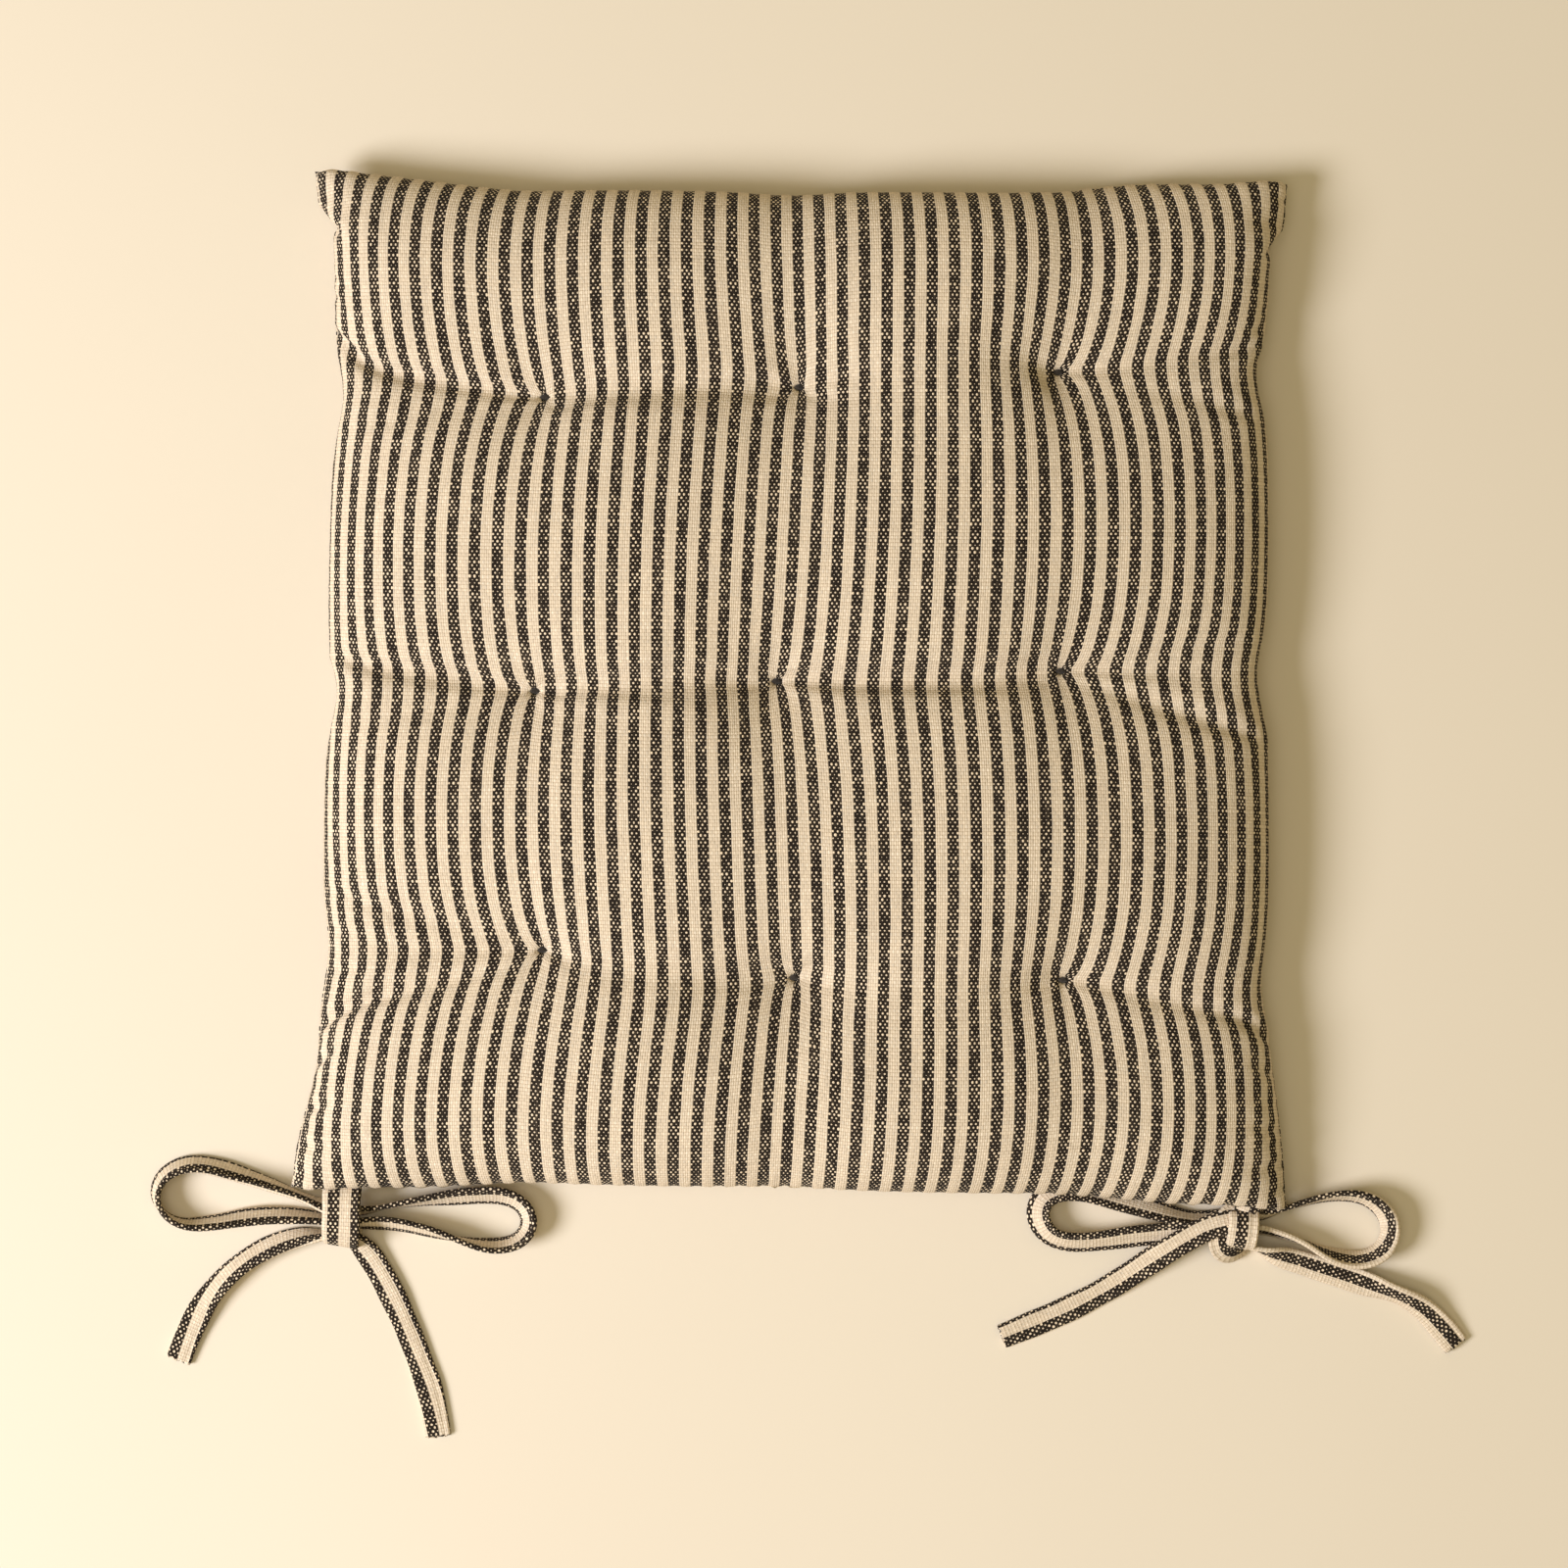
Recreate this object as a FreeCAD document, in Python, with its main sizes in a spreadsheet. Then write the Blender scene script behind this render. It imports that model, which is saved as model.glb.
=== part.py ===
import FreeCAD, Part
import Sketcher
import math
import os

# A square tufted chair pad with two bows of fabric ties, in millimetres.
# The pad lies on z = 0 with its centre over the origin. +Y points away from the ties,
# +X to the right as seen from above with the ties at the near edge.

SIZES = {
    "pad_width": 400.0,          # corner to corner along X
    "pad_depth": 412.0,          # corner to corner along Y
    "side_pull": 7.0,            # how far each side bows in at its middle
    "seam_height": 13.0,         # knife edge above the surface
    "crown_height": 42.0,        # top of the pad between the tufts
    "shoulder_inset": 20.0,      # where the crown turns over, in from the edge
    "shoulder_height": 30.0,
    "crown_inset": 62.0,         # where the top goes flat, in from the edge
    "base_inset": 20.0,          # where the underside meets the surface
    "cloth": 0.6,                # one ply of cover cloth
    "fit_gap": 0.2,              # air between the fill and the covers
    "allowance": 10.0,           # seam allowance turned inside
    "seam_inset": 1.6,           # stitch line in from the edge
    "thread_width": 0.5,
    "thread_gap": 0.05,
    "tuft_pitch_x": 104.0,
    "tuft_pitch_y": 117.0,
    "tuft_shift_y": 4.0,         # the middle row sits a little towards the front
    "pit_floor": 20.0,           # cloth drawn down to here on top of the pad
    "pit_roof": 7.0,             # cloth drawn up to here under the pad
    "pit_radius": 4.5,           # flat at the bottom of a pit
    "pit_mouth": 26.0,           # radius of a pit level with the crown
    "under_mouth": 13.0,         # radius of a pit level with the base
    "stitch_radius": 0.6,        # tufting twine
    "stitch_reach": 2.0,         # half the length of the bar stitch
    "twine_knot": 1.6,
    "tie_width": 10.5,
    "tie_thickness": 2.4,
    "sewn_thickness": 1.6,       # a tie pressed flat where it is sewn in
    "bow_x": 183.0,              # the bows' distance from the centre line
    "bow_lean": 2.0,             # both bows sit this far to the left of it
    "root_depth": 12.0,          # how far a tie's sewn end reaches into the seam
    "knot_width": 15.0,
    "knot_depth": 18.0,
    "knot_height": 14.0,
    "knot_round": 1.5,
    "tack_radius": 0.4,
    "tack_pitch": 2.6,
    "closing_length": 120.0,
    "closing_pitch": 6.0,
    "overshoot": 1.0,            # cutting bodies run this far past what they cut
}

# Tufts are placed by hand, so each stands a few millimetres off its grid point.
TUFT_OFFSETS = {
    "front_left": (2.0, -3.0),
    "front_middle": (0.0, 1.0),
    "front_right": (0.0, 7.0),
    "middle_left": (-2.0, -4.0),
    "middle_middle": (-9.0, 0.0),
    "middle_right": (1.0, 4.0),
    "rear_left": (1.0, 9.0),
    "rear_middle": (-2.0, -2.0),
    "rear_right": (2.0, -3.0),
}
ROWS = {"front": 1, "middle": 0, "rear": -1}
COLUMNS = {"left": -1, "middle": 0, "right": 1}

# Routes of the tied straps, seen from above. A loop starts and ends inside its knot.
LEFT_OUTER_LOOP = [(-192, -209), (-205, -204), (-221, -198), (-238, -192.5), (-250, -191.5),
                   (-259, -196), (-262.5, -204), (-259, -212), (-251, -216.5), (-239, -216),
                   (-224, -213), (-208, -212.5), (-192, -214)]
LEFT_INNER_LOOP = [(-178, -211), (-163, -208), (-147, -206), (-132, -204.5), (-120, -204.5),
                   (-112, -208.5), (-109, -215.5), (-112.5, -222.5), (-121, -225.5),
                   (-134, -224), (-149, -219.5), (-164, -216), (-178, -215.8)]
LEFT_OUTER_TAIL = [(-192, -220.5), (-207, -222), (-223, -229), (-236, -240), (-246, -254),
                   (-253, -272)]
LEFT_INNER_TAIL = [(-181, -224), (-172, -236), (-162, -254), (-154, -273), (-149, -289),
                   (-147, -303)]
RIGHT_OUTER_LOOP = [(188, -213), (203, -208), (218, -204.5), (230, -205), (238.5, -210.5),
                    (241.5, -219), (238, -227.5), (229, -231.5), (217, -229.5), (203, -222.5),
                    (188, -218)]
RIGHT_INNER_LOOP = [(174, -214), (159, -214.5), (142, -212), (124, -207.5), (110, -205.5),
                    (101, -207.5), (97, -213.5), (100.5, -220.5), (109, -224), (122, -223.5),
                    (138, -221), (157, -220), (174, -219)]
RIGHT_OUTER_TAIL = [(184, -225), (199, -233.5), (220, -239), (242, -242.5), (258, -251),
                    (268, -267)]
RIGHT_INNER_TAIL = [(175, -225), (160, -233), (142, -241), (122, -248.5), (103, -254),
                    (83, -262)]
BOW_PARTS = {
    "left": {
        "outer_loop": LEFT_OUTER_LOOP,
        "inner_loop": LEFT_INNER_LOOP,
        "outer_tail": LEFT_OUTER_TAIL,
        "inner_tail": LEFT_INNER_TAIL,
    },
    "right": {
        "outer_loop": RIGHT_OUTER_LOOP,
        "inner_loop": RIGHT_INNER_LOOP,
        "outer_tail": RIGHT_OUTER_TAIL,
        "inner_tail": RIGHT_INNER_TAIL,
    },
}
KNOT_LEVEL = {"left": -216.0, "right": -217.5}   # centre of each knot along Y
ARC_SHARE = 0.45                                 # of the shorter run, taken by each arc

doc = FreeCAD.newDocument("seat_cushion")
sizes = doc.addObject("Spreadsheet::Sheet", "sizes")
for row, (alias, value) in enumerate(SIZES.items(), start=1):
    sizes.set(f"A{row}", alias)
    sizes.set(f"B{row}", str(value))
    sizes.setAlias(f"B{row}", alias)
doc.recompute()

nodes = []


def node(feature, label):
    """Marks a document object as one finished sub-part."""
    feature.Label = label
    nodes.append(feature)
    return feature


def bind(feature, **formulas):
    """Binds properties to formulas over the sheet's aliases."""
    for prop, formula in formulas.items():
        feature.setExpression(prop.replace("__", "."), formula)
    return feature


def outline(name, inset, height):
    """A sketch of the pad's outline, drawn in by inset: four shallow arcs that bow inwards."""
    sketch = doc.addObject("Sketcher::SketchObject", name)
    half_x = SIZES["pad_width"] / 2
    half_y = SIZES["pad_depth"] / 2
    pull = SIZES["side_pull"]
    corners = [(-half_x, -half_y), (half_x, -half_y), (half_x, half_y), (-half_x, half_y)]
    middles = [(0, pull - half_y), (half_x - pull, 0), (0, half_y - pull), (pull - half_x, 0)]
    for side in range(4):
        points = [corners[side], middles[side], corners[(side + 1) % 4]]
        sketch.addGeometry(Part.Arc(*[FreeCAD.Vector(x, y, 0) for x, y in points]))
    # each of these arcs runs clockwise about its own centre, so its start is the next corner
    for side in range(4):
        sketch.addConstraint(Sketcher.Constraint("Coincident", side, 1, (side + 1) % 4, 2))
    for side, (x, y) in enumerate(corners):
        sign_x = math.copysign(1, x)
        sign_y = math.copysign(1, y)
        for kind, sign, size, value in (("DistanceX", sign_x, "pad_width", x),
                                        ("DistanceY", sign_y, "pad_depth", y)):
            index = sketch.addConstraint(Sketcher.Constraint(kind, -1, 1, side, 2, value))
            sketch.setExpression(f"Constraints[{index}]",
                                 f"{sign:g} * (sizes.{size} / 2 - ({inset}))")
    for side in range(4):
        span = "pad_width" if side % 2 == 0 else "pad_depth"
        chord = f"(sizes.{span} / 2 - ({inset}))"
        radius = sketch.Geometry[side].Radius
        index = sketch.addConstraint(Sketcher.Constraint("Radius", side, radius))
        sketch.setExpression(f"Constraints[{index}]",
                             f"({chord}^2 + sizes.side_pull^2) / (2 * sizes.side_pull)")
    sketch.setExpression("Placement.Base.z", height)
    return sketch


def loft(name, sections):
    """A solid through outlines given as (inset, height) formulas."""
    solid = doc.addObject("Part::Loft", name)
    solid.Sections = [outline(f"{name}_section_{i}", inset, height)
                      for i, (inset, height) in enumerate(sections)]
    solid.Solid = True
    solid.Ruled = False
    return solid


def slab(name, inset, bottom, thickness):
    """An upright prism over an outline."""
    prism = doc.addObject("Part::Extrusion", name)
    prism.Base = outline(f"{name}_outline", inset, bottom)
    prism.DirMode = "Custom"
    prism.Dir = FreeCAD.Vector(0, 0, 1)
    prism.Solid = True
    prism.setExpression("LengthFwd", thickness)
    return prism


def cut(name, base, *tools):
    """base with every tool taken away in one boolean."""
    result = doc.addObject("Part::Cut", name)
    result.Base = base
    if len(tools) == 1:
        result.Tool = tools[0]
    else:
        result.Tool = together(f"{name}_tools", *tools)
    return result


def fuse(name, *pieces):
    result = doc.addObject("Part::MultiFuse", name)
    result.Shapes = list(pieces)
    return result


def together(name, *pieces):
    """A compound of pieces that stay separate."""
    result = doc.addObject("Part::Compound", name)
    result.Links = list(pieces)
    return result


def ring(name, outer, inner, bottom, thickness):
    """A flat ring that follows the outline between two insets."""
    return cut(name, slab(f"{name}_outer", outer, bottom, thickness),
               slab(f"{name}_inner", inner, bottom, thickness))


def tuft_places():
    """Each tuft's name with its X and Y formulas."""
    places = {}
    for row, rank in ROWS.items():
        for column, file in COLUMNS.items():
            name = f"{row}_{column}"
            off_x, off_y = TUFT_OFFSETS[name]
            places[name] = (f"sizes.tuft_pitch_x * {file} + {off_x}",
                            f"sizes.tuft_pitch_y * {rank} + sizes.tuft_shift_y + {off_y}")
    return places


def cylinder(name, x, y, z, radius, height):
    post = doc.addObject("Part::Cylinder", name)
    return bind(post, Radius=radius, Height=height, Placement__Base__x=x,
                Placement__Base__y=y, Placement__Base__z=z)


def bar_along_x(name, x, y, z, radius, length):
    rod = doc.addObject("Part::Cylinder", name)
    rod.Placement.Rotation = FreeCAD.Rotation(FreeCAD.Vector(0, 1, 0), 90)
    return bind(rod, Radius=radius, Height=length, Placement__Base__x=x,
                Placement__Base__y=y, Placement__Base__z=z)


def ball(name, x, y, z, radius):
    sphere = doc.addObject("Part::Sphere", name)
    return bind(sphere, Radius=radius, Placement__Base__x=x, Placement__Base__y=y,
                Placement__Base__z=z)


def box(name, x, y, z, length, width, height):
    block = doc.addObject("Part::Box", name)
    return bind(block, Length=length, Width=width, Height=height, Placement__Base__x=x,
                Placement__Base__y=y, Placement__Base__z=z)


def pits(name, grow, top):
    """Nine conical pits, grown by a formula so that inner ones clear outer ones."""
    cones = []
    for tuft, (x, y) in tuft_places().items():
        cone = doc.addObject("Part::Cone", f"{name}_{tuft}")
        if top:
            bind(cone, Radius1=f"sizes.pit_radius + ({grow})",
                 Radius2=f"sizes.pit_mouth + ({grow})",
                 Height="sizes.crown_height - sizes.pit_floor + sizes.overshoot",
                 Placement__Base__z=f"sizes.pit_floor - ({grow})")
        else:
            bind(cone, Radius1=f"sizes.under_mouth + ({grow})",
                 Radius2=f"sizes.pit_radius + ({grow})",
                 Height="sizes.pit_roof + sizes.overshoot",
                 Placement__Base__z=f"({grow}) - sizes.overshoot")
        bind(cone, Placement__Base__x=x, Placement__Base__y=y)
        cones.append(cone)
    return together(name, *cones)


def upper_dome(name, inset, drop):
    """The pad above its seam, drawn in by inset and lowered by drop."""
    return loft(name, [
        (inset, "sizes.seam_height"),
        (f"sizes.shoulder_inset + ({inset})", f"sizes.shoulder_height - ({drop})"),
        (f"sizes.crown_inset + ({inset})", f"sizes.crown_height - ({drop})"),
    ])


def lower_dish(name, inset, lift):
    """The pad below its seam, down to the flat that it rests on."""
    return loft(name, [
        (inset, "sizes.seam_height"),
        (f"sizes.base_inset + ({inset})", f"({lift})"),
    ])


def thread_line(name, gap):
    """The perimeter seam's thread, or with a gap the channel that it lies in."""
    half = f"(sizes.thread_width / 2 + ({gap}))"
    return ring(name, f"sizes.seam_inset - {half}", f"sizes.seam_inset + {half}",
                f"sizes.seam_height - {half}", f"2 * {half}")


def stitch(name, x, y):
    """One tuft's twine: a loop through both panels, knotted underneath."""
    legs = []
    top = "(sizes.pit_floor + sizes.stitch_radius + sizes.thread_gap)"
    under = "(sizes.pit_roof - sizes.stitch_radius - sizes.thread_gap)"
    for side, sign in (("left", -1), ("right", 1)):
        leg_x = f"{x} + {sign} * sizes.stitch_reach"
        legs.append(cylinder(f"{name}_{side}_leg", leg_x, y, under, "sizes.stitch_radius",
                             f"{top} - {under}"))
        for level, height in (("top", top), ("under", under)):
            legs.append(ball(f"{name}_{side}_{level}_turn", leg_x, y, height,
                             "sizes.stitch_radius"))
    for level, height in (("top", top), ("under", under)):
        legs.append(bar_along_x(f"{name}_{level}_bar", f"{x} - sizes.stitch_reach", y, height,
                                "sizes.stitch_radius", "2 * sizes.stitch_reach"))
    legs.append(ball(f"{name}_knot", x, y, "sizes.pit_roof - sizes.twine_knot - sizes.thread_gap",
                     "sizes.twine_knot"))
    return fuse(name, *legs)


def needle_holes(name, gap, bottom, top):
    """The holes that every tuft's twine passes through."""
    holes = []
    for tuft, (x, y) in tuft_places().items():
        for side, sign in (("left", -1), ("right", 1)):
            holes.append(cylinder(f"{name}_{tuft}_{side}",
                                  f"{x} + {sign} * sizes.stitch_reach", y, bottom,
                                  f"sizes.stitch_radius + ({gap})", f"{top} - ({bottom})"))
    return together(name, *holes)


def bow_x(side):
    """The bow's X as a formula: both bows sit a little to the left of their corners."""
    sign = -1 if side == "left" else 1
    return f"({sign} * sizes.bow_x - sizes.bow_lean)"


def root_box(name, side, grow):
    """The stretch of the two ties that is sewn into the corner of the seam."""
    thickness = f"(2 * sizes.sewn_thickness + 2 * ({grow}))"
    return box(name, f"{bow_x(side)} - sizes.tie_width / 2 - ({grow})",
               f"-sizes.pad_depth / 2 - ({grow})", f"sizes.seam_height - {thickness} / 2",
               f"sizes.tie_width + 2 * ({grow})", f"sizes.root_depth + 2 * ({grow})", thickness)


def tack(name, side, grow):
    """A row of tack stitches through the sewn ends, joined above and below."""
    pieces = []
    radius = f"(sizes.tack_radius + ({grow}))"
    half = "(sizes.sewn_thickness + sizes.tack_radius + sizes.thread_gap)"
    across = "-sizes.pad_depth / 2 + sizes.root_depth * 0.6"
    for step in (-1.5, -0.5, 0.5, 1.5):
        pieces.append(cylinder(f"{name}_{len(pieces)}", f"{bow_x(side)} + {step} * sizes.tack_pitch",
                               across, f"sizes.seam_height - {half}", radius, f"2 * {half}"))
    for level, sign in (("under", -1), ("top", 1)):
        pieces.append(bar_along_x(f"{name}_{level}", f"{bow_x(side)} - 1.5 * sizes.tack_pitch - {radius}",
                                  across, f"sizes.seam_height + {sign} * {half}", radius,
                                  f"3 * sizes.tack_pitch + 2 * {radius}"))
    return fuse(name, *pieces)


def closing_stitches(name, grow):
    """Slip stitches along the gap in the near edge, each a short bar across the seam."""
    count = int(SIZES["closing_length"] / SIZES["closing_pitch"]) + 1
    bars = []
    for i in range(count):
        x = f"sizes.closing_pitch * {i - (count - 1) / 2}"
        bars.append(cylinder(f"{name}_{i}", x,
                             "sizes.side_pull - sizes.pad_depth / 2 + 2 * sizes.seam_inset + 1",
                             f"sizes.seam_height - 2 * sizes.cloth - ({grow})",
                             f"sizes.tack_radius + ({grow})", f"4 * sizes.cloth + 2 * ({grow})"))
    return together(name, *bars)


def flange(name, bottom):
    """The seam allowance of one panel, turned inside the pad."""
    return ring(name, "sizes.thread_width", "sizes.allowance", bottom, "sizes.cloth")


def build_covers():
    top_skin = cut("top_skin", cut("top_outer", upper_dome("top_dome", "0", "0"),
                                   pits("top_pits", "0", True)),
                   cut("top_inner", upper_dome("top_hollow", "sizes.cloth * 1.6", "sizes.cloth"),
                       pits("top_inner_pits", "sizes.cloth", True)))
    under_skin = cut("under_skin", cut("under_outer", lower_dish("under_dish", "0", "0"),
                                       pits("under_pits", "0", False)),
                     cut("under_inner",
                         lower_dish("under_hollow", "sizes.cloth * 1.6", "sizes.cloth"),
                         pits("under_inner_pits", "sizes.cloth", False)))
    channel = thread_line("thread_channel", "sizes.thread_gap")
    roots = [root_box(f"{side}_root_slot", side, "sizes.thread_gap") for side in BOW_PARTS]
    closing = closing_stitches("closing_holes", "sizes.thread_gap")
    holes = needle_holes("panel_holes", "sizes.thread_gap", "0", "sizes.crown_height")
    for label, skin, level in (("top_panel", top_skin, "sizes.seam_height"),
                               ("bottom_panel", under_skin, "sizes.seam_height - sizes.cloth")):
        joined = fuse(f"{label}_joined", skin, flange(f"{label}_flange", level))
        node(cut(f"{label}_solid", joined, channel, holes, closing, *roots), label)


def build_fill():
    gap = "(sizes.cloth + sizes.fit_gap)"
    inset = f"(1.6 * {gap} + 1)"
    upper = cut("fill_upper", upper_dome("fill_dome", inset, gap), pits("fill_pits", gap, True))
    lower = cut("fill_lower", lower_dish("fill_dish", inset, gap), pits("fill_under", gap, False))
    seam_room = ring("seam_room", "0", "sizes.allowance + sizes.fit_gap",
                     f"sizes.seam_height - {gap}", f"2 * {gap}")
    holes = needle_holes("fill_holes", "sizes.fit_gap", "0", "sizes.crown_height")
    rooms = [root_box(f"{side}_root_room", side, "sizes.cloth * 2") for side in BOW_PARTS]
    whole = fuse("fill_joined", upper, lower)
    closing = closing_stitches("closing_room", "sizes.cloth")
    node(cut("fill_solid", whole, seam_room, holes, closing, *rooms), "fibre_fill")


def build_threads():
    for tuft, (x, y) in tuft_places().items():
        node(stitch(f"twine_{tuft}", x, y), f"tuft_thread_{tuft}")
    line = thread_line("seam_line", "0")
    slots = [root_box(f"{side}_line_slot", side, "sizes.thread_gap") for side in BOW_PARTS]
    node(cut("seam_line_cut", line, *slots), "perimeter_seam_thread")
    node(closing_stitches("closing_line", "0"), "closing_stitch_thread")
    for side in BOW_PARTS:
        node(tack(f"{side}_tack_row", side, "0"), f"{side}_tie_tack_thread")


def build_roots():
    for side in BOW_PARTS:
        root = root_box(f"{side}_root_block", side, "0")
        node(cut(f"{side}_root_solid", root, tack(f"{side}_tack_hole", side, "sizes.thread_gap")),
             f"{side}_tie_sewn_ends")


def tangent_path(points):
    """Straight runs joined by tangent arcs: the edges, and each arc's radius."""
    edges = []
    radii = []
    start = points[0]
    for before, corner, after in zip(points, points[1:], points[2:]):
        arrive = corner - before
        leave = after - corner
        shorter = min(arrive.Length, leave.Length)
        turn = arrive.getAngle(leave)
        reach = ARC_SHARE * shorter
        arrive.normalize()
        leave.normalize()
        enter = corner - arrive * reach
        depart = corner + leave * reach
        radius = reach / math.tan(turn / 2)
        inward = leave - arrive
        inward.normalize()
        middle = corner + inward * (radius / math.cos(turn / 2) - radius)
        edges.append(Part.LineSegment(start, enter).toShape())
        edges.append(Part.Arc(enter, middle, depart).toShape())
        radii.append(radius)
        start = depart
    edges.append(Part.LineSegment(start, points[-1]).toShape())
    return Part.Wire(edges), radii


def strap(label, route, width, height, floor):
    """A strap of rectangular section along a level route, standing on floor."""
    middle = floor + height / 2
    points = [FreeCAD.Vector(x, y, middle) for x, y in route]
    path, radii = tangent_path(points)
    along = points[1] - points[0]
    along.normalize()
    across = FreeCAD.Vector(-along.y, along.x, 0) * (width / 2)
    up = FreeCAD.Vector(0, 0, height / 2)
    corners = [points[0] + across + up, points[0] + across - up,
               points[0] - across - up, points[0] - across + up]
    profile = Part.makePolygon(corners + [corners[0]])
    solid = path.makePipeShell([profile], True, True)
    expected = width * height * path.Length
    print(f"{label}: length {path.Length:.1f}, radii from {min(radii):.1f} to {max(radii):.1f},"
          f" volume {solid.Volume:.0f} of {expected:.0f}")
    feature = doc.addObject("Part::Feature", f"{label}_strap")
    feature.Shape = solid
    return feature


def build_bow(side, parts):
    """A bow's knot and the four free stretches of its two ties."""
    level = KNOT_LEVEL[side]
    width = SIZES["tie_width"]
    thickness = SIZES["tie_thickness"]
    block = box(f"{side}_knot_block", f"{bow_x(side)} - sizes.knot_width / 2",
                f"{level} - sizes.knot_depth / 2", "0", "sizes.knot_width", "sizes.knot_depth",
                "sizes.knot_height")
    doc.recompute()
    knot = doc.addObject("Part::Fillet", f"{side}_knot_rounded")
    knot.Base = block
    knot.Edges = [(i + 1, SIZES["knot_round"], SIZES["knot_round"])
                  for i in range(len(block.Shape.Edges))]
    doc.recompute()
    node(knot, f"{side}_bow_knot")
    for part, route in parts.items():
        label = f"{side}_bow_{part}"
        on_edge = part.endswith("loop")
        if on_edge:
            free = strap(label, route, thickness, width, 0.0)
        else:
            free = strap(label, route, width, thickness, 0.0)
        node(free, label)


def check_document():
    """Stops if any object failed or any sub-part is empty or invalid."""
    for item in doc.Objects:
        if "Invalid" in item.State or "Error" in item.State:
            raise RuntimeError(f"{item.Name} failed: {item.State}")
    for feature in nodes:
        shape = feature.Shape
        if shape.isNull() or not shape.isValid() or not shape.Solids:
            raise RuntimeError(f"{feature.Label} has no valid solid")


def write_parts():
    os.makedirs("parts", exist_ok=True)
    for feature in nodes:
        feature.Shape.exportStep(f"parts/{feature.Label}.step")
        low = feature.Shape.BoundBox
        print(f"{feature.Label}: {len(feature.Shape.Solids)} solid(s), {feature.Shape.Volume:.0f} mm3,"
              f" x {low.XMin:.1f}..{low.XMax:.1f}, y {low.YMin:.1f}..{low.YMax:.1f},"
              f" z {low.ZMin:.1f}..{low.ZMax:.1f}")


build_covers()
build_fill()
build_threads()
build_roots()
for bow_side, bow_parts in BOW_PARTS.items():
    build_bow(bow_side, bow_parts)
doc.recompute()
check_document()
write_parts()
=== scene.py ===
import math

import bpy
import numpy as np
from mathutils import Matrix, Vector


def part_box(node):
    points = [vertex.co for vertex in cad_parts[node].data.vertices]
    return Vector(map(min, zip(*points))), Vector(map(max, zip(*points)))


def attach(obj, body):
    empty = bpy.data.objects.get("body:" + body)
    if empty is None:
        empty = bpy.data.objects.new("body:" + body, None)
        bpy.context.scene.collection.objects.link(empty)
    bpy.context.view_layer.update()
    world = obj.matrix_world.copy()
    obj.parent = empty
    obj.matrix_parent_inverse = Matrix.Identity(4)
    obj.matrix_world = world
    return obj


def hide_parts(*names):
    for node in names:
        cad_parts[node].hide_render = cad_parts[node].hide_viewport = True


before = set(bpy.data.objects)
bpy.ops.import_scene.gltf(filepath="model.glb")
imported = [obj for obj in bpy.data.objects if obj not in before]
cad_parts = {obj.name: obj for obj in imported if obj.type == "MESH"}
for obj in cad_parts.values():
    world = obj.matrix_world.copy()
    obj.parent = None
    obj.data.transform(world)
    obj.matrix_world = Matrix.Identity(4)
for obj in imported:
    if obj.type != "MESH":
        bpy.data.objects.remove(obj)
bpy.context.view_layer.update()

# A tufted chair pad in striped ticking, with a bow of two ties at each rear corner.
# Lengths are in millimetres, as in the part's own sheet, until a mesh or a curve is made.
MM = 0.001
UP = np.array((0.0, 0.0, 1.0))
ROWS = ("front", "middle", "rear")
COLUMNS = ("left", "middle", "right")

# the ticking: a plain weave with dark and natural warp stripes that run from front to rear
STRIPE = 9.35                    # one dark and one light stripe
ENDS = 10                        # warp ends in the two, half of them dark
PICK = 1.4                       # from one weft yarn to the next
CLOTH = 0.6                      # thickness
STRIPE_SHIFT = 4.3               # the covers' middle is this far past the start of a dark stripe
CROWDING = 0.045                 # share of extra pattern taken in at the sides and in the end seams

# the ties: strips of the same cloth, folded and stitched flat
TIE_WIDTH = 10.5
TIE_THICK = 2.3
TIE_STITCHES = 2.2               # from the edge to its row of stitches
TIE_PRESSED = 0.26               # share of the thickness that is pressed away beside the stitches


# ---------------------------------------------------------------- small helpers

def new_object(name, data):
    obj = bpy.data.objects.new(name, data)
    bpy.context.scene.collection.objects.link(obj)
    return obj


def unit(vectors):
    length = np.linalg.norm(vectors, axis=-1, keepdims=True)
    return vectors / np.maximum(length, 1e-9)


def distances(line):
    """How far along a line each of its points is."""
    gaps = np.linalg.norm(np.diff(line, axis=0), axis=1)
    return np.concatenate(([0], np.cumsum(gaps)))


def node_box(name):
    """The low and the high corner of one of the part's nodes, in millimetres."""
    return [np.array(corner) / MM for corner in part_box(name)]


def mesh_object(name, points, faces, cloth=None, material=None):
    """A smooth mesh from points in millimetres. cloth holds each face corner's place on the flat cloth."""
    mesh = bpy.data.meshes.new(name)
    mesh.from_pydata((np.asarray(points) * MM).tolist(), [], faces)
    if cloth is not None:
        layer = mesh.uv_layers.new(name="cloth")
        layer.data.foreach_set("uv", (np.asarray(cloth) * MM).astype(np.float32).ravel())
    mesh.polygons.foreach_set("use_smooth", [True] * len(mesh.polygons))
    if material:
        mesh.materials.append(material)
    mesh.update()
    return new_object(name, mesh)


def apply_modifiers(obj):
    """Makes what the modifiers show the object's own mesh."""
    evaluated = obj.evaluated_get(bpy.context.evaluated_depsgraph_get())
    mesh = bpy.data.meshes.new_from_object(evaluated)
    obj.modifiers.clear()
    obj.data = mesh


# ---------------------------------------------------------------- camera

def add_camera():
    """Straight above the object."""
    data = bpy.data.cameras.new("camera")
    data.sensor_width = 36
    data.lens = 90
    camera = new_object("camera", data)
    camera.location = (-0.006, -0.0372, 1.6)
    bpy.context.scene.camera = camera


# ---------------------------------------------------------------- ties: routes

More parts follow.
